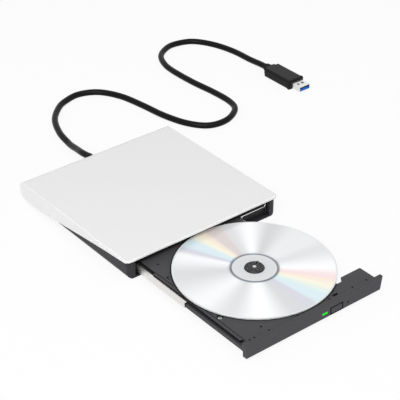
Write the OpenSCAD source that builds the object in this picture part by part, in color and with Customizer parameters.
// External slim disc drive, tray open with a disc on it: a white cover rolled round the
// rear, a black base, a steel slim drive inside and a captive lead with a flat plug.
// Millimetres, +Z up, the tray comes out along -Y. The origin is on the ground under the
// middle of the opened drive (lead left out).

/* [Disc] */
// disc diameter, which sizes the drive and the case round it
disc_d = 120; // [112:1:124]
// disc thickness
disc_t = 1.2; // [1.1:0.05:1.3]
// disc hole diameter
disc_hole = 15; // [15:0.05:15.2]

/* [Case] */
// from the steel casing's front edge to the case front
front_room = 5.2; // [5:0.1:6]
// from the steel casing's rear to the rolled rear
rear_room = 14.8; // [14:0.1:18]
// from the steel casing's side to the outside of the cover
side_room = 8.5; // [8:0.1:12]
// from the drive's lid up to the cover's inside
lid_room = 1.6; // [1.4:0.1:2.4]
// thickness of the cover's top and rolled rear
cover_t = 1.9; // [1.6:0.1:2.1]
// thickness of the cover's side skirts
skirt_t = 1.2; // [1:0.1:1.5]
// plan radius of the front corners
corner_r = 4.5; // [3:0.5:6]
// plan radius of the rear corners
rear_r = 2; // [1.5:0.1:3]
// radius of the rolled rear end
roll_r = 7.9; // [7.4:0.1:8.2]
// thickness of the base's floor
floor_t = 1.2; // [1:0.1:1.3]
// thickness of the base's side walls
wall_t = 1.6; // [1.2:0.1:1.8]
// how far the base's walls lean in, top to bottom
lean = 0.5; // [0.3:0.1:1]
// radius of the base's lower side edges
edge_r = 4.5; // [3.5:0.1:5]
// how far a foot stands out of the base
foot_h = 0.8; // [0.6:0.1:1]
// diameter of a foot
foot_d = 9; // [7:0.5:11]

/* [Drive] */
// from the disc's edge to the steel casing's side
rim_room = 4; // [3.8:0.1:4.6]
// how much deeper the steel casing is than the disc
depth_room = 5; // [4.6:0.1:7]
// height of the steel drive casing
drive_h = 12.5; // [12.3:0.1:12.7]
// steel sheet thickness
sheet_t = 0.6; // [0.4:0.1:0.7]
// outer radius of the steel sheet's bends
bend_r = 1.5; // [1:0.1:2]
// width of the raised floor at the right
ledge_w = 25.6; // [24:0.2:27]
// height of the raised floor above the casing's underside
ledge_h = 7; // [6.4:0.1:7.1]

/* [Tray] */
// how far the disc's rear edge stays inside the case with the tray open
rim_in = 5; // [4:0.5:16]
// height of the tray's top above the casing's underside
tray_h = 8.6; // [8.6:0.1:9]
// depth of the recess the disc turns in
recess_d = 1.2; // [1:0.1:1.3]
// thickness of the tray's side walls
tray_t = 1.2; // [1:0.1:1.4]
// bezel height
bezel_h = 12.3; // [11.8:0.1:12.5]
// bezel depth
bezel_d = 4.2; // [3.8:0.1:4.4]
// bezel front wall
bezel_t = 1.6; // [1.2:0.1:2]
// eject button width
button_w = 11.4; // [9:0.2:12]
// eject button height
button_h = 5.6; // [4.4:0.2:6]
// eject button travel
button_go = 0.7; // [0.5:0.1:0.8]
// radius of the emergency eject hole
pin_r = 0.75; // [0.6:0.05:0.9]

/* [Rails] */
// rail height
rail_h = 4.2; // [3.8:0.1:4.4]
// rail depth, side to side
rail_w = 2.6; // [2.2:0.1:2.8]
// rail sheet thickness
rail_t = 0.5; // [0.4:0.1:0.6]
// rail length
rail_l = 108; // [96:1:112]
// how far the rails stand out of the case at rest
rail_out = 54.5; // [50:0.5:58]

/* [Lead] */
// lead diameter
cord_d = 5.6; // [5:0.2:6]
// plug moulding width
plug_w = 18.5; // [16:0.5:20]
// plug moulding thickness
plug_h = 9.4; // [8:0.2:10]
// plug moulding length
plug_l = 33; // [28:1:36]

/* [Fits] */
// clearance between sliding pieces
slide_gap = 0.3; // [0.25:0.05:0.35]
// radial clearance of a turning or sliding pin
run_gap = 0.05; // [0.03:0.01:0.08]
// gap round the eject button
button_gap = 0.5; // [0.4:0.05:0.6]
// clearance between fixed pieces that drop into each other
drop_gap = 0.1; // [0.05:0.05:0.2]

/* [Hidden] */
$fn = 64;

// levels, upwards from the ground
base_z = foot_h;
floor_z = base_z + floor_t;
pan_z = floor_z;
pan_in = pan_z + sheet_t;
lid_top = pan_z + drive_h;
lid_z = lid_top - sheet_t;
cover_in = lid_top + lid_room;
case_h = cover_in + cover_t;
ledge_z = pan_z + ledge_h;
plate_z = pan_in + 0.4;
plate_t = 0.4;
tray_z = plate_z + plate_t;
tray_top = pan_z + tray_h;
recess_z = tray_top - recess_d;
under_z = recess_z - 1.4;
shoulder_t = 1.2;
disc_z = recess_z + 1;
bezel_z = floor_z + 0.2;
lip_d = bezel_t + 0.6;

// stations along Y, front of the case first
drive_d = disc_d + depth_room;
case_d = front_room + drive_d + rear_room;
spin_d = disc_d / 2 + 7;
tray_open = spin_d + disc_d / 2 - rim_in;
fy = -(case_d - tray_open) / 2;
rear_y = fy + case_d;
bez_y = fy - tray_open;
tray_y0 = bez_y + bezel_d;
pan_y0 = fy + front_room;
pan_y1 = pan_y0 + drive_d;
back_y = pan_y1 + 0.4;
lip_y = back_y + wall_t + 0.4;
travel = tray_open + 0.6;
tray_y1 = pan_y1 - sheet_t - 1 - travel;

// stations along X
drive_w = disc_d + 2 * rim_room;
half_w = drive_w / 2;
case_w = drive_w + 2 * side_room;
step_x = half_w - ledge_w;
conn_x = step_x + 11.6;
pan_l = -half_w + sheet_t;
guide_t = 0.3;
rail_d = guide_t + slide_gap;
tray_d = rail_d + rail_w + slide_gap;
tray_l = pan_l + tray_d;
tray_r = step_x - tray_d;
shoulder_r = half_w - 2.5;
chan_x = tray_r - tray_t - 5.7;
rail_z = pan_z + 3.2;
tongue_d = rail_d + rail_t + slide_gap;
tongue_z = rail_z + rail_t + slide_gap;
tongue_h = rail_h - 2 * rail_t - 2 * slide_gap;

// spindle and its slanting pickup track
spin_x = 1;
spin_y = bez_y + spin_d;
track_to = [-1, -1];
track_a = atan2(track_to[1], track_to[0]);
lens_r = 24;
lens_go = disc_d / 2 - 7 - lens_r;
rod_y = 14;
rod_r = 0.9;
rod_z = plate_z + 2.2;
frame_z = plate_z + 3.6;
frame_t = 1;
screw_y = 18;
screw_r = 0.8;
screw_z = plate_z + 2.6;
rotor_r = 12.5;
rotor_top = disc_z - 0.3;
hub_r = disc_hole / 2 - 0.15;
ball_r = 0.95;
ball_z = disc_z + disc_t + 0.6;
deck_x1 = lens_r + lens_go + 9;
ear_a = spot((spin_x - tray_l - 5.6) / -cos(track_a) - 19.1, -19.1);
ear_b = [tray_r - 10.9, spin_y - 22];
ear_c = [spin_x - 17, spin_y + 28];

// latch near the front of the tray
post_x = tray_r - tray_t - 3.2;
post_y = pan_y0 + 12.8;
post_r = 1;
latch_p = [post_x - 6, post_y - travel - 7.4];

// bezel front features
pin_x = tray_r - 4.6;
pin_z = bezel_z + 4.3;
button_x = pin_x - 10.8;
button_z = bezel_z + 3.8;
led_x = button_x - 11.2;
led_z = bezel_z + 4.3;

// case shape
roll_z = case_h - roll_r;
belly_y = 18;
belly_z = 2.4;
base_top = cover_in - 0.2;
base_hw = case_w / 2 - skirt_t - 0.2;
mouth_hw = half_w + 0.4;

// lead
gland_x = -1.5;
gland_r = 3.2;
boot_y = rear_y + 6;
side_x = case_w / 2;
plug_x = side_x + 152.4;
plug_tip = rear_y - 8.9;
shell_w = 12;
shell_h = 4.5;
shell_t = 0.3;
shell_l = 12.3;
plug_y0 = plug_tip + shell_l;
plug_y1 = plug_y0 + plug_l;
neck_y = plug_y1 + 9;
plug_z = plug_h / 2;
cord_z = cord_d / 2;
ROUTE = [
  [gland_x, boot_y, roll_z], [gland_x, rear_y + 15.5, 9], [gland_x + 2.6, rear_y + 27.7, 6],
  [gland_x + 5.6, rear_y + 44, cord_z + 0.5], [gland_x + 9.5, rear_y + 64.2, cord_z],
  [gland_x + 19, rear_y + 86, cord_z], [gland_x + 33.4, rear_y + 101.7, cord_z],
  [gland_x + 45.5, rear_y + 108.6, cord_z], [side_x - 12.4, rear_y + 111.7, cord_z],
  [side_x + 3.9, rear_y + 104, cord_z], [side_x + 14.9, rear_y + 85.4, cord_z],
  [side_x + 20.1, rear_y + 60.2, cord_z], [side_x + 23.9, rear_y + 32.6, cord_z],
  [side_x + 31.3, rear_y + 9.2, cord_z], [side_x + 43.8, rear_y - 5.7, cord_z],
  [side_x + 62.1, rear_y - 7.6, cord_z], [side_x + 79.4, rear_y + 2.3, cord_z],
  [side_x + 85.2, rear_y + 16.7, cord_z], [side_x + 85.2, rear_y + 39, cord_z],
  [side_x + 82.5, rear_y + 66.4, cord_z], [side_x + 82, rear_y + 95.5, cord_z],
  [side_x + 84.4, rear_y + 111.1, cord_z], [side_x + 91.2, rear_y + 125.6, cord_z],
  [side_x + 102.4, rear_y + 134.7, cord_z], [side_x + 116, rear_y + 138.6, cord_z],
  [side_x + 133.8, rear_y + 133.2, cord_z], [side_x + 145.6, rear_y + 116.2, cord_z],
  [side_x + 151.9, rear_y + 92.4, cord_z], [plug_x, rear_y + 68.3, cord_z + 0.5],
  [plug_x, neck_y + 8, plug_z - 0.3], [plug_x, neck_y, plug_z]];

// shared helpers
module box(a, b) {
  translate(a) cube(b - a);
}
module rod(c, r, z0, z1) {
  translate([c[0], c[1], z0]) cylinder(r = r, h = z1 - z0);
}
module ring(c, r0, r1, z0, z1) {
  difference() {
    rod(c, r1, z0, z1);
    rod(c, r0, z0 - 1, z1 + 1);
  }
}
// rounded rectangle from low corner to high corner
module rrect(a, b, r) {
  translate([a[0] + r, a[1]]) square([b[0] - a[0] - 2 * r, b[1] - a[1]]);
  translate([a[0], a[1] + r]) square([b[0] - a[0], b[1] - a[1] - 2 * r]);
  for (x = [a[0] + r, b[0] - r], y = [a[1] + r, b[1] - r])
    translate([x, y]) circle(r = r);
}
// a side outline (y, z) drawn across the width w
module across(w) {
  translate([-w / 2, 0, 0]) rotate([90, 0, 90]) linear_extrude(w) children();
}
// a front outline (x, z) drawn from y0 back to y1
module along(y0, y1) {
  translate([0, y1, 0]) rotate([90, 0, 0]) linear_extrude(y1 - y0) children();
}
// the pickup's own axes: X runs out from the spindle along its track
module on_track() {
  translate([spin_x, spin_y, 0]) rotate([0, 0, track_a]) children();
}
function spot(x, y) =
  [spin_x + x * cos(track_a) - y * sin(track_a), spin_y + x * sin(track_a) + y * cos(track_a)];
// distance from a casing wall towards the tray: left wall s = 1, right wall s = -1
module from_wall(x, s) {
  translate([x, 0, 0]) mirror([s < 0 ? 1 : 0, 0, 0]) children();
}
function arc(c, rx, rz, a0, a1, n) =
  [for (i = [0:n]) c + [rx * cos(a0 + (a1 - a0) * i / n), rz * sin(a0 + (a1 - a0) * i / n)]];
function bez(p, n) =
  [for (i = [1:n]) let (t = i / n, u = 1 - t)
    u * u * u * p[0] + 3 * u * u * t * p[1] + 3 * u * t * t * p[2] + t * t * t * p[3]];

// white cover: flat top, rolled rear, skirts that taper away to the front
module cover_side() {
  ny = rear_y - roll_r;
  by = rear_y - belly_y;
  polygon(concat(
    arc([fy + 0.9, case_h - 0.9], 0.9, 0.9, 180, 90, 6),
    arc([ny, roll_z], roll_r, roll_r, 90, 0, 14),
    arc([by, roll_z], belly_y, roll_z - belly_z, -6, -90, 14),
    bez([[by, belly_z], [by - 15, belly_z], [fy + case_d * 0.41, cover_in - 4.7], [fy, cover_in]], 18)));
}
module cover_hollow() {
  ny = rear_y - roll_r;
  by = rear_y - belly_y;
  bx = belly_y - cover_t;
  bz = roll_z - belly_z - cover_t;
  lip_a = acos((lip_y - by) / bx);
  polygon(concat(
    [[fy - 2, -2], [fy - 2, cover_in]],
    arc([ny, roll_z], roll_r - cover_t, roll_r - cover_t, 90, 0, 14),
    arc([by, roll_z], bx, bz, -6, -lip_a, 10),
    [[lip_y, -2]]));
}
module top_cover() {
  color("white") {
    difference() {
      intersection() {
        across(case_w + 2) cover_side();
        translate([0, 0, -1]) linear_extrude(case_h + 2) {
          rrect([-case_w / 2, fy], [case_w / 2, fy + case_d * 0.4], corner_r);
          rrect([-case_w / 2, fy + case_d * 0.2], [case_w / 2, rear_y], rear_r);
        }
        along(fy - 1, rear_y + 1) rrect([-case_w / 2, -9], [case_w / 2, case_h], 1);
      }
      across(case_w - 2 * skirt_t) cover_hollow();
      translate([gland_x, rear_y - 9, roll_z]) rotate([-90, 0, 0])
        cylinder(r = gland_r + drop_gap, h = 12);
    }
    for (y = [pan_y0 + drive_d * 0.26, pan_y0 + drive_d * 0.63])
      box([-half_w + 8, y, lid_top + drop_gap], [half_w - 8, y + 1.2, cover_in]);
  }
}

// black base: round lower edges, an open front for the drive and a shelf that hooks the cover
// front outline: half width w at the top, lower edges rounded by r
module base_front(w, z0, z1, r) {
  polygon(concat([[w, z1], [-w, z1]],
    arc([lean - w + r, z0 + r], r, r, 180, 270, 12),
    arc([w - lean - r, z0 + r], r, r, 270, 360, 12)));
}
// sill under the drive's raised floor, at the right of the mouth
module front_sill() {
  box([step_x + sheet_t + 0.4, pan_y0 + 0.1, floor_z - 0.2],
      [half_w - sheet_t - 0.4, pan_y0 + 2.6, ledge_z - sheet_t - 0.5]);
}
module base_shell() {
  color("dimgray") difference() {
    union() {
      difference() {
        intersection() {
          along(fy, rear_y) base_front(base_hw, base_z, base_top, edge_r);
          linear_extrude(case_h)
            rrect([-base_hw, fy + 1], [base_hw, back_y + wall_t], corner_r);
        }
        along(fy + 4.8, back_y) base_front(base_hw - wall_t, floor_z, base_top + 1, edge_r - 1.3);
        box([-case_w, back_y - 1, roll_z - 3.6], [case_w, back_y + 9, case_h]);
      }
      box([-base_hw + 5.1, back_y, roll_z - 4.6], [base_hw - 5.1, rear_y - 9, roll_z - 3.6]);
      box([gland_x - 6, back_y + 0.6, roll_z - 4], [gland_x + 6, rear_y - 9.2, roll_z]);
      front_sill();
      for (x = [conn_x - 26, conn_x - 13, conn_x + 13])
        rod([x, back_y + 3], 1.6, roll_z - 4, roll_z - 2.4);
    }
    difference() {
      box([-mouth_hw, fy - 1, floor_z], [mouth_hw, fy + 6, case_h]);
      front_sill();
    }
    translate([gland_x, back_y - 1, roll_z]) rotate([-90, 0, 0])
      cylinder(r = gland_r + drop_gap, h = 8);
    box([conn_x - 9, back_y - 1, floor_z + 2.4], [conn_x + 9, back_y + 9, roll_z]);
    for (p = foot_at) rod(p, foot_d / 2 + drop_gap, base_z - 1, base_z + 0.4);
    for (p = base_screw_at) {
      rod(p, 1.1, base_z - 1, floor_z + 1);
      rod(p, 2.1, base_z - 1, base_z + 0.6);
    }
  }
}
foot_at = [for (x = [-half_w + 7, half_w - 7], y = [pan_y0 + 5.8, pan_y1 - 10.2]) [x, y]];
module feet() {
  color("black") for (p = foot_at) rod(p, foot_d / 2, 0, base_z + 0.4);
}
base_screw_at = [for (x = [-half_w + 18, step_x - 10.4], y = [pan_y0 + 24.8, pan_y1 - 18.2]) [x, y]];
module base_screws() {
  color("silver") for (p = base_screw_at) {
    difference() {
      rod(p, 1.9, base_z + 0.05, base_z + 0.6);
      translate([p[0], p[1], base_z]) for (a = [0, 90]) rotate([0, 0, a])
        box([-1.2, -0.2, -1], [1.2, 0.2, 0.3]);
    }
    rod(p, 0.95, base_z + 0.6, pan_in);
  }
}

// steel drive casing: pan with a raised floor on the right, and a flat lid
// quarter turn of the sheet, upper left
module bend() {
  intersection() {
    difference() {
      circle(r = bend_r);
      circle(r = bend_r - sheet_t);
    }
    translate([-bend_r, 0]) square(bend_r);
  }
}
module drive_pan() {
  x0 = -half_w;
  x1 = half_w;
  color("silver") difference() {
    union() {
      along(pan_y0, pan_y1) {
        translate([x0, pan_z]) square([step_x + sheet_t - x0, sheet_t]);
        translate([x0, pan_z]) square([sheet_t, lid_z - pan_z]);
        translate([step_x, pan_z]) square([sheet_t, ledge_z - bend_r - pan_z]);
        translate([step_x + bend_r, ledge_z - bend_r]) bend();
        translate([step_x + bend_r, ledge_z - sheet_t]) square([x1 - step_x - bend_r, sheet_t]);
        translate([x1 - sheet_t, pan_z]) square([sheet_t, lid_z - pan_z]);
        translate([x1 - sheet_t - bend_r, ledge_z]) difference() {
          square(bend_r);
          translate([0, bend_r]) circle(r = bend_r);
        }
      }
      box([x0, pan_y1 - sheet_t, pan_z], [x1, pan_y1, lid_z]);
      for (p = board_at) rod(p, 1.6, board_z + board_t, ledge_z - sheet_t / 2);
    }
    for (p = base_screw_at) rod(p, 1, pan_z - 1, pan_in + 1);
    box([conn_x - 7.2, pan_y1 - 2, board_z], [conn_x + 7.2, pan_y1 + 1, board_z + 3.4]);
    box([step_x - 1, band_y - 1, pan_in - 0.2], [step_x + 2, band_y + band_w + 1, pan_in + 0.6]);
  }
}
module drive_lid() {
  color("silver") difference() {
    union() {
      box([-half_w - 0.5, pan_y0, lid_z], [half_w + 0.5, pan_y1 - 2, lid_top]);
      for (s = [0, 1]) mirror([s, 0, 0])
        box([half_w + 0.1, pan_y0, lid_z - 3], [half_w + 0.5, pan_y1 - 2, lid_top]);
    }
    translate([spin_x, spin_y + travel, lid_top - 0.15]) cylinder(r = 19, h = 1);
  }
}
// two side screws clamp the lid's flanges to the pan
side_screw_y = [pan_y0 + 14, pan_y1 - 16];
module lid_screws() {
  color("silver") for (s = [0, 1], y = side_screw_y) mirror([s, 0, 0])
    translate([half_w + 0.5, y, lid_z - 1.5]) rotate([0, 90, 0])
      cylinder(r = 1.4, h = 0.5);
}
module latch_post() {
  color("silver") rod([post_x, post_y], post_r, pan_in, pan_in + 3);
}

// plastic channels that hold the rails against the casing walls
module guide(x, s) {
  z0 = rail_z - slide_gap - 0.8;
  z1 = rail_z + rail_h + slide_gap + 0.8;
  from_wall(x, s) difference() {
    box([0, pan_y0 + 1, z0], [rail_d + 1.6, pan_y1 - 4, z1]);
    box([guide_t, pan_y0, z0 + 0.8], [9, pan_y1, z1 - 0.8]);
  }
}
module left_guide() {
  color("dimgray") guide(pan_l, 1);
}
module right_guide() {
  color("dimgray") difference() {
    guide(step_x, -1);
    box([step_x - 9, pan_y0, ledge_z - 0.4], [step_x + 1, pan_y1, tray_top]);
  }
}
// folded steel rails, open towards the tray
module rail(x, s) {
  from_wall(x, s) difference() {
    box([rail_d, fy - rail_out, rail_z], [rail_d + rail_w, fy - rail_out + rail_l, rail_z + rail_h]);
    box([rail_d + rail_t, fy - rail_out - 1, rail_z + rail_t],
        [rail_d + rail_w + 1, fy + rail_l, rail_z + rail_h - rail_t]);
  }
}
module left_rail() {
  color("lightgray") rail(pan_l, 1);
}
module right_rail() {
  color("lightgray") rail(step_x, -1);
}

// boards under the raised floor and in the rolled rear
board_z = pan_z + 2.2;
board_t = 1;
board_at = [for (x = [step_x + 6.6, half_w - 4], y = [pan_y0 + 30.8, pan_y1 - 30.2]) [x, y]];
mid_y = (pan_y0 + pan_y1) / 2;
band_w = 20;
band_x = -20;
band_y = pan_y1 - band_w - 4.2;
module main_board() {
  color("green") {
    box([step_x + 1.6, pan_y0 + 24.8, board_z], [half_w - 1.2, pan_y1 - 2, board_z + board_t]);
    box([step_x + 6.6, mid_y - 18, board_z + board_t], [half_w - 5, mid_y - 4, board_z + board_t + 1.2]);
    box([step_x + 7.6, mid_y + 6, board_z + board_t], [half_w - 7, mid_y + 17, board_z + board_t + 1]);
    box([step_x + 2, band_y, pan_in + 0.3], [step_x + 7, band_y + band_w, board_z]);
  }
}
module drive_connector() {
  color("black")
    box([conn_x - 7, pan_y1 - 6, board_z + board_t], [conn_x + 7, pan_y1 + 0.3, board_z + board_t + 2.2]);
}
module ribbon() {
  color("white") translate([0, 0, pan_in + 0.05]) linear_extrude(0.15) {
    translate([band_x, pan_y0 + 0.5]) square([band_w, band_y + band_w - pan_y0 - 0.5]);
    translate([band_x, band_y]) square([step_x + 6 - band_x, band_w]);
  }
}
bridge_z = roll_z - 2.4;
module bridge_board() {
  color("green") {
    box([conn_x - 30, back_y + 0.6, bridge_z], [conn_x + 16, rear_y - 6.6, bridge_z + 1]);
    box([conn_x - 24, back_y + 2, bridge_z + 1], [conn_x - 17, rear_y - 8, bridge_z + 2]);
  }
}
module bridge_socket() {
  color("black") box([conn_x - 8, pan_y1 + 0.5, bridge_z - 2.3], [conn_x + 8, back_y + 4, bridge_z]);
}

// sliding tray: shallow round recess, cut away at the right behind a thin shoulder
module tray_outline() {
  y2 = bez_y + 20.5;
  polygon([[tray_r - 1, tray_y0], [shoulder_r, tray_y0], [shoulder_r, y2 - 0.6],
    [shoulder_r - 0.6, y2], [step_x + 4.1, y2], [step_x + 1.1, y2 - 4], [tray_r - 1, y2 - 4]]);
}
module track_slot(w, x1) {
  on_track() box([0, -w / 2, under_z - 1], [x1, w / 2, tray_top + 1]);
}
module tray() {
  color("dimgray") {
    difference() {
      union() {
        box([tray_l, tray_y0, tray_z], [tray_r, tray_y1, tray_top]);
        translate([0, 0, tray_top - shoulder_t]) linear_extrude(shoulder_t) tray_outline();
        for (w = [[pan_l, 1], [step_x, -1]]) from_wall(w[0], w[1])
          box([tongue_d, tray_y0 + 2, tongue_z], [tray_d + 0.5, tray_y1, tongue_z + tongue_h]);
      }
      box([tray_l + tray_t, tray_y0 + tray_t, tray_z - 1], [tray_r - tray_t, tray_y1 - tray_t, under_z]);
      rod([spin_x, spin_y], disc_d / 2 + 0.8, recess_z, tray_top + 1);
      rod([spin_x, spin_y], rotor_r + 1.5, under_z - 1, tray_top);
      track_slot(18, lens_r + lens_go + 5.5);
      box([chan_x, tray_y1 - 3, tray_z - 1], [tray_r - tray_t, tray_y1 + 1, post_top + 0.6]);
      box([button_x - 2.1, tray_y0 - 1, button_z - 1.6], [button_x + 2.1, tray_y0 + 3, button_z + 1.6]);
      box([led_x - 2.6, tray_y0 - 1, led_z - 1.1], [led_x + 2.6, tray_y0 + 3, led_z + 1.1]);
      translate([pin_x, tray_y0 - 1, pin_z]) rotate([-90, 0, 0]) cylinder(r = pin_r + 0.3, h = 4);
      for (p = [ear_a, ear_b, ear_c]) {
        rod(p, 0.9, under_z - 4, tray_top + 1);
        rod(p, 2.4, recess_z - 0.6, tray_top + 1);
      }
      tray_marks();
    }
    rod(latch_p, 1, tray_z + 0.2, under_z + 0.5);
    for (p = boss_at) ring(p, 0.8, 2, tray_z, under_z + 0.5);
    for (p = [ear_a, ear_b, ear_c]) ring(p, 0.9, 1.5, frame_z - 1.2, under_z + 0.5);
  }
}
post_top = pan_in + 3;
boss_at = [[tray_l + 4, tray_y1 - 5], [18, tray_y1 - 5], [tray_l + 4, tray_y0 + 5], [-8, tray_y0 + 5]];
// undercut beside the left tongue, small moulded marks and the catches along the bezel
module tray_marks() {
  d = 0.9;
  z0 = tray_top - d;
  z1 = tray_top + 1;
  step_z = tongue_z + tongue_h + 0.1;
  box([tray_l - 1, tray_y0 + 2, step_z], [tray_l + 1.6, tray_y1 + 1, tray_top - d]);
  box([tray_l - 1, tray_y1 - 20.5, step_z], [tray_l + 2.2, tray_y1 + 1, z1]);
  rod([tray_l + 0.4, tray_y0 + 4.7], 1.5, step_z, z1);
  box([tray_l + 2.2, tray_y1 - 41.5, z0], [tray_l + 2.7, tray_y1 - 20, z1]);
  box([tray_l + 2.2, bez_y + 8, z0], [tray_l + 2.7, bez_y + 50, z1]);
  rod([tray_l + 9.9, tray_y1 - 13], 0.8, z0, z1);
  rod([tray_l + 20.6, bez_y + 13], 0.8, z0, z1);
  box([tray_l + 4.6, tray_y1 - 33, z0], [tray_l + 5.5, tray_y1 - 29.4, z1]);
  box([tray_l + 4.6, tray_y1 - 30.3, z0], [tray_l + 7, tray_y1 - 29.4, z1]);
  catches = [tray_l + 5.3, tray_l + 9.3, tray_l + 22.3, spin_x - 12.4, spin_x + 17.5, step_x + 2.5,
    shoulder_r - 6.8];
  for (x = catches) box([x - 0.45, tray_y0 + 0.9, z0], [x + 0.45, tray_y0 + 3.5, z1]);
  box([spin_x + 21.8, tray_y0 + 2.8, under_z - 1], [spin_x + 26.4, tray_y0 + 4.6, z1]);
}

// front bezel with its slanted right end and a thin lip above the tray, hollow at the back
module bezel() {
  x1 = half_w;
  z1 = bezel_z + bezel_h;
  c = 0.8;
  color("dimgray") difference() {
    union() {
      difference() {
        intersection() {
          along(bez_y, tray_y0)
            polygon([[-x1 + 1.2, bezel_z], [x1 - 1.6, bezel_z], [x1, z1 - 0.8], [x1 - 0.8, z1],
              [-x1 + 0.8, z1], [-x1, z1 - 0.8], [-x1, bezel_z + 5.6], [-x1 + 1.2, bezel_z + 4.6]]);
          across(drive_w + 2)
            polygon([[bez_y + 0.4, bezel_z], [tray_y0, bezel_z], [tray_y0, z1 - 0.4],
              [tray_y0 - 0.4, z1], [bez_y + c, z1], [bez_y, z1 - c], [bez_y, bezel_z + 0.4]]);
        }
        box([-x1 + 2.6, bez_y + bezel_t, bezel_z + 1.2], [x1 - 2.6, tray_y0 + 1, tray_top - 1.2]);
      }
      for (x = [-half_w + 10, led_x - 28.3, led_x - 10.3, pin_x + 2.3, half_w - 8])
        box([x - 0.9, bez_y + bezel_t - 0.5, bezel_z + 0.6], [x + 0.9, tray_y0, tray_top - 0.6]);
    }
    box([led_x - 2.3 - drop_gap, bez_y - 1, led_z - 0.8 - drop_gap],
        [led_x + 2.3 + drop_gap, tray_y0 + 1, led_z + 0.8 + drop_gap]);
    box([button_x - button_w / 2 - button_gap, bez_y - 1, button_z - button_h / 2 - button_gap],
        [button_x + button_w / 2 + button_gap, tray_y0 - 1, button_z + button_h / 2 + button_gap]);
    translate([pin_x, bez_y - 1, pin_z]) rotate([-90, 0, 0]) cylinder(r = pin_r, h = bezel_t + 2);
    box([-x1 + 1.6, bez_y + lip_d, tray_top], [x1 + 1, tray_y0 + 1, z1 + 1]);
  }
}
module light_pipe() {
  color("lime") {
    box([led_x - 2.3, bez_y, led_z - 0.8], [led_x + 2.3, tray_y0 + 3, led_z + 0.8]);
  }
}
module eject_button() {
  x0 = button_x - button_w / 2;
  z0 = button_z - button_h / 2;
  color("dimgray") {
    box([x0, bez_y, z0], [x0 + button_w, bez_y + bezel_t, z0 + button_h]);
    box([button_x - 1.4, bez_y + bezel_t, button_z - 0.9], [button_x + 1.4, tray_y0 + 1.6, button_z + 0.9]);
  }
}
module front_board() {
  color("green")
    box([led_x - 8.3, tray_y0 + 4.6, tray_z + 0.3], [button_x + 2.5, tray_y0 + 5.6, under_z - 0.1]);
}
module eject_switch() {
  color("black")
    box([button_x - 2, tray_y0 + 2.7, button_z - 1.5], [button_x + 2, tray_y0 + 4.6, button_z + 1.5]);
}
module tray_plate() {
  color("silver") difference() {
    box([tray_l, tray_y0, plate_z], [chan_x, tray_y1, tray_z]);
    for (p = boss_at) rod(p, 0.8, plate_z - 1, tray_z + 1);
  }
}
module plate_screws() {
  color("silver") for (p = boss_at) rod(p, 0.75, plate_z, tray_z + 2.4);
}

// pickup deck hung from the tray on rubber bushes, with a rubber washer round each screw head
module dampers() {
  color("black") for (p = [ear_a, ear_b, ear_c]) {
    ring(p, 1.55, 2.2, frame_z - 0.6, frame_z + frame_t + 0.3);
    ring(p, 2.2, 3, frame_z - 0.6, frame_z - 0.05);
    ring(p, 1.45, 2.3, recess_z - 0.6, recess_z + 0.1);
  }
}
module mount_screws() {
  color("silver") for (p = [ear_a, ear_b, ear_c]) {
    rod(p, 0.85, frame_z - 1, recess_z - 0.6);
    difference() {
      rod(p, 1.4, recess_z - 0.6, recess_z + 0.2);
      for (a = [0, 90]) translate([p[0], p[1], recess_z]) rotate([0, 0, a])
        box([-1, -0.2, -0.2], [1, 0.2, 1]);
    }
  }
}
// outline of the deck: plate along the track, screw bracket and an arm out to each bush
module arm(p, q) {
  translate(q) rotate(atan2(p[1] - q[1], p[0] - q[0])) translate([0, -2.4]) square([norm(p - q), 4.8]);
  translate(p) circle(r = 4);
}
module deck_outline() {
  on_track() {
    translate([-17, -19]) square([deck_x1 + 17, 34.8]);
    translate([13.5, 15]) square([2, screw_y - 13.4]);
  }
  translate(ear_a) circle(r = 4);
  arm(ear_b, [spin_x + 11, spin_y - 10]);
  arm(ear_c, [spin_x - 9, spin_y + 12]);
}
module sled_frame() {
  color("gray") difference() {
    union() {
      translate([0, 0, frame_z]) linear_extrude(frame_t) deck_outline();
      on_track() {
        for (x = [10.3, deck_x1 - 2], y = [-rod_y, rod_y])
          box([x, y - 1.6, rod_z - 1.6], [x + 2, y + 1.6, frame_z]);
        box([13.5, 16.1, screw_z - 1.5], [15.5, screw_y + 1.6, frame_z]);
      }
    }
    rod([spin_x, spin_y], rotor_r + 1, frame_z - 1, frame_z + frame_t + 1);
    on_track() {
      box([12, -11.6, frame_z - 1], [deck_x1 - 2, 11.6, frame_z + frame_t + 1]);
      for (y = [-rod_y, rod_y]) translate([10, y, rod_z]) rotate([0, 90, 0])
        cylinder(r = rod_r, h = deck_x1);
      translate([13, screw_y, screw_z]) rotate([0, 90, 0]) cylinder(r = screw_r + run_gap, h = 3);
    }
    for (p = [ear_a, ear_b, ear_c]) rod(p, 2.25, frame_z - 1, frame_z + frame_t + 1);
  }
}
module guide_rods() {
  color("silver") on_track() for (y = [-rod_y, rod_y])
    translate([10.3, y, rod_z]) rotate([0, 90, 0]) cylinder(r = rod_r, h = lens_r + lens_go - 1.3);
}
module lead_screw() {
  color("silver") on_track() translate([13.6, screw_y, screw_z]) rotate([0, 90, 0])
    cylinder(r = screw_r, h = lens_r + lens_go - 14.8);
}
module sled_motor() {
  color("silver") on_track() translate([lens_r + lens_go - 1, screw_y, screw_z]) rotate([0, 90, 0])
    cylinder(r = 2, h = 9);
}
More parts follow.
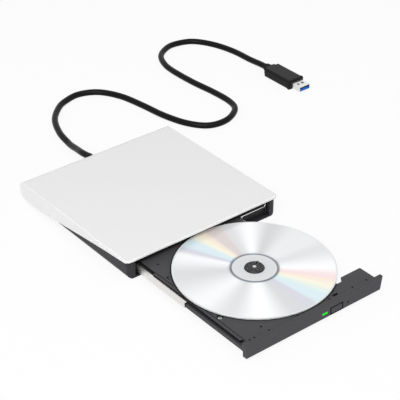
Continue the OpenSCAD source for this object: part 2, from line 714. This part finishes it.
// laser pickup on its two rods, with a tooth beside the screw
module pickup_sled() {
  color("dimgray") on_track() difference() {
    translate([lens_r, 0, 0]) {
      box([-11, -15.7, rod_z - 1.4], [5, 15.7, frame_z - 0.3]);
      box([-8, 15, screw_z - 0.6], [-4, screw_y - screw_r - 0.3, frame_z - 0.3]);
      box([-5, -6, frame_z - 0.5], [5, 6, frame_z + frame_t]);
    }
    for (y = [-rod_y, rod_y]) translate([0, y, rod_z]) rotate([0, 90, 0])
      cylinder(r = rod_r + run_gap, h = 60);
  }
}
module lens_holder() {
  z0 = frame_z + frame_t + 0.5;
  color("black") on_track() translate([lens_r, 0, 0]) difference() {
    box([-4, -4.5, z0], [4, 4.5, z0 + 1]);
    translate([0, 0, z0 - 1]) cylinder(r = 2.2, h = 3);
  }
}
module lens() {
  z0 = frame_z + frame_t + 0.5;
  color("lightblue") on_track() translate([lens_r, 0, z0]) {
    cylinder(r = 2.2, h = 0.9);
    translate([0, 0, 0.9]) cylinder(r1 = 1.9, r2 = 1.2, h = 0.4);
  }
}

// spindle: fixed base and stator, turning rotor with pad, clamp hub and disc
module spindle_base() {
  z0 = plate_z + 0.8;
  color("silver") {
    difference() {
      rod([spin_x, spin_y], 17, z0, z0 + 0.8);
      on_track() box([9.8, -30, 0], [40, 30, 20]);
    }
    on_track() for (a = [110, 180, 250])
      rod([15.2 * cos(a), 15.2 * sin(a)], 1.2, z0 + 0.4, frame_z);
  }
}
module spindle_stator() {
  z0 = plate_z + 1.6;
  color("chocolate") difference() {
    union() {
      ring([spin_x, spin_y], 5, 9.6, z0 + 0.5, z0 + 2.2);
      rod([spin_x, spin_y], 5.2, z0, z0 + 1);
      rod([spin_x, spin_y], 2.6, z0, z0 + 2.6);
    }
    rod([spin_x, spin_y], 1 + run_gap, z0 + 0.2, z0 + 9);
  }
}
module spindle_rotor() {
  z0 = plate_z + 2;
  c = [spin_x, spin_y];
  color("silver") {
    difference() {
      rod(c, rotor_r, z0, rotor_top);
      rod(c, rotor_r - 1.2, z0 - 1, rotor_top - 2.2);
    }
    rod(c, 1, z0 - 0.1, rotor_top - 1);
    rod(c, 1.5, rotor_top - 1.2, disc_z + 2.4);
  }
}
module disc_pad() {
  color("black") ring([spin_x, spin_y], 8.6, rotor_r - 0.4, rotor_top, disc_z);
}
module clamp_hub() {
  c = [spin_x, spin_y];
  top = disc_z + 2.6;
  color("black") difference() {
    translate([c[0], c[1], 0]) rotate_extrude()
      polygon([[1.6, rotor_top], [8.2, rotor_top], [8.2, disc_z - 0.05], [hub_r, disc_z - 0.05],
        [hub_r, top - 0.9], [hub_r - 1.1, top], [2.4, top], [2.4, top - 0.5], [1.6, top - 0.5]]);
    for (a = [30, 150, 270]) translate([c[0], c[1], ball_z]) rotate([0, 90, a])
      cylinder(r = ball_r + run_gap, h = 9);
    for (a = [0:30:330]) translate([c[0], c[1], top - 0.6]) rotate([0, 0, a])
      box([3.4, -0.3, 0], [hub_r + 1, 0.3, 2]);
    rod(c, 4.6, rotor_top - 1, rotor_top + 1.2);
  }
}
module clamp_balls() {
  color("silver") for (a = [30, 150, 270]) translate([spin_x, spin_y, ball_z]) rotate([0, 0, a])
    translate([hub_r - 0.66, 0, 0]) sphere(r = ball_r);
}
module disc() {
  r0 = disc_hole / 2;
  r1 = disc_d / 2;
  z1 = disc_z + disc_t;
  color("lightgray") translate([spin_x, spin_y, 0]) rotate_extrude($fn = 128)
    polygon([[r0, disc_z], [17, disc_z], [17.2, disc_z - 0.15], [17.8, disc_z - 0.15], [18, disc_z],
      [r1 - 0.15, disc_z], [r1, disc_z + 0.15], [r1, z1 - 0.15], [r1 - 0.15, z1],
      [18.1, z1], [18, z1 - 0.15], [17.2, z1 - 0.15], [17.1, z1], [r0, z1]]);
}

// tray lock: a hook that takes the casing's post, freed by a small coil
module latch_lever() {
  z0 = tray_z + 0.5;
  y0 = post_y - travel + post_r + 0.4;
  color("dimgray") difference() {
    union() {
      rod(latch_p, 2.1, z0, z0 + 1.2);
      box([latch_p[0] - 1, latch_p[1], z0], [latch_p[0] + 1.4, y0 + 1.7, z0 + 1.2]);
      box([latch_p[0] - 1, y0, z0], [post_x + 0.5, y0 + 1.7, z0 + 1.2]);
    }
    rod(latch_p, 1 + run_gap, z0 - 1, z0 + 2);
  }
}
module latch_coil() {
  x1 = latch_p[0] - 5;
  y1 = latch_p[1] + 8;
  color("chocolate") {
    box([x1 - 11, y1 - 5, tray_z + 0.2], [x1, y1, under_z - 0.2]);
    translate([x1, y1 - 2.5, tray_z + 2]) rotate([0, 90, 0]) cylinder(r = 0.8, h = 1.2);
  }
}

// captive lead: gland, swept cord and flat plug
module cord_gland() {
  color("black") translate([gland_x, 0, roll_z]) rotate([-90, 0, 0]) {
    translate([0, 0, back_y + 1]) cylinder(r = gland_r, h = rear_y - 2.2 - back_y);
    translate([0, 0, rear_y - 9]) cylinder(r = gland_r + 0.8, h = 1.2);
    translate([0, 0, rear_y - 1.2]) cylinder(r1 = gland_r, r2 = cord_d / 2 + 0.3, h = boot_y - rear_y + 1.2);
  }
}
// smooth curve through the route points
function spline(a, b, c, d, t) =
  0.5 * (2 * b + (c - a) * t + (2 * a - 5 * b + 4 * c - d) * t * t + (3 * b - a - 3 * c + d) * t * t * t);
LAST = len(ROUTE) - 1;
PATH = concat([for (i = [0:LAST - 1], s = [0, 0.5])
  spline(ROUTE[max(i - 1, 0)], ROUTE[i], ROUTE[i + 1], ROUTE[min(i + 2, LAST)], s)], [ROUTE[LAST]]);
RINGS = len(PATH);
SIDES = 10;
function unit(v) = v / norm(v);
function heading(i) = i == 0 ? [0, 1, 0] : i == RINGS - 1 ? [0, -1, 0] : unit(PATH[i + 1] - PATH[i - 1]);
function level(p) = [p[0], p[1], max(p[2], cord_z)];
function hoop(i) = let (t = heading(i), s = unit(cross(t, [0, 0, 1])), u = cross(s, t))
  [for (k = [0:SIDES - 1]) let (a = 360 * (k + 0.5) / SIDES)
    level(PATH[i]) + cord_d / 2 * (cos(a) * s + sin(a) * u)];
module cord() {
  n = SIDES;
  color("black") polyhedron(
    points = [for (i = [0:RINGS - 1]) each hoop(i)],
    faces = concat(
      [[for (k = [0:n - 1]) k]],
      [for (i = [0:RINGS - 2], k = [0:n - 1]) [i * n + k, (i + 1) * n + k, i * n + (k + 1) % n]],
      [for (i = [0:RINGS - 2], k = [0:n - 1])
        [i * n + (k + 1) % n, (i + 1) * n + k, (i + 1) * n + (k + 1) % n]],
      [[for (k = [n - 1:-1:0]) (RINGS - 1) * n + k]]));
}
module plug_body() {
  r = 2.2;
  color("black") difference() {
    union() {
      along(plug_y0, plug_y0 + 2)
        rrect([plug_x - plug_w / 2, 0], [plug_x + plug_w / 2, plug_h], r);
      along(plug_y0 + 2, plug_y1)
        rrect([plug_x - plug_w / 2 + 0.3, 0.3], [plug_x + plug_w / 2 - 0.3, plug_h - 0.3], r);
      along(plug_y1, plug_y1 + 3)
        rrect([plug_x - plug_w / 2 + 2.5, 1], [plug_x + plug_w / 2 - 2.5, plug_h - 1], r);
      translate([plug_x, plug_y1 + 3, plug_z]) rotate([-90, 0, 0])
        cylinder(r1 = 3.6, r2 = cord_d / 2 + 0.3, h = neck_y - plug_y1 - 3);
      for (i = [0, 1]) translate([plug_x, plug_y1 + 4 + 2.2 * i, plug_z]) rotate([-90, 0, 0])
        cylinder(r = 4.1 - 0.3 * i, h = 1.2);
    }
    box([plug_x - shell_w / 2, plug_y0 - 1, plug_z - shell_h / 2],
        [plug_x + shell_w / 2, plug_y0 + 6, plug_z + shell_h / 2]);
  }
}
module plug_shell() {
  x0 = plug_x - shell_w / 2;
  z0 = plug_z - shell_h / 2;
  t = shell_t;
  color("silver") difference() {
    box([x0, plug_tip, z0], [x0 + shell_w, plug_y0 + 6, z0 + shell_h]);
    box([x0 + t, plug_tip - 1, z0 + t], [x0 + shell_w - t, plug_y0 + 5, z0 + shell_h - t]);
    for (x = [plug_x - 3.7, plug_x + 1.2])
      box([x, plug_tip + 5, -1], [x + 2.5, plug_tip + 7.3, plug_h + 1]);
  }
}
module plug_tongue() {
  z0 = plug_z - shell_h / 2 + shell_t;
  x0 = plug_x - shell_w / 2 + shell_t;
  w = shell_w - 2 * shell_t;
  color("blue") {
    box([x0, plug_tip + 0.6, z0], [x0 + w, plug_y0 + 5, z0 + 1.9]);
    box([x0, plug_tip + 9.5, z0 + 1.9], [x0 + w, plug_y0 + 5, z0 + shell_h - 2 * shell_t]);
  }
}
module plug_contacts() {
  z0 = plug_z - shell_h / 2 + shell_t + 1.9;
  color("gold") for (x = [-3.5, -1, 1, 3.5])
    box([plug_x + x - 0.5, plug_tip + 1.6, z0], [plug_x + x + 0.5, plug_tip + 9.4, z0 + 0.12]);
}

top_cover();
base_shell();
feet();
base_screws();
drive_pan();
drive_lid();
lid_screws();
latch_post();
left_guide();
right_guide();
main_board();
drive_connector();
ribbon();
bridge_board();
bridge_socket();
left_rail();
right_rail();
tray();
bezel();
light_pipe();
front_board();
eject_switch();
tray_plate();
plate_screws();
mount_screws();
dampers();
sled_frame();
guide_rods();
sled_motor();
latch_coil();
spindle_base();
spindle_stator();
eject_button();
latch_lever();
lead_screw();
pickup_sled();
lens_holder();
lens();
spindle_rotor();
disc_pad();
clamp_hub();
clamp_balls();
disc();
cord_gland();
cord();
plug_body();
plug_shell();
plug_tongue();
plug_contacts();
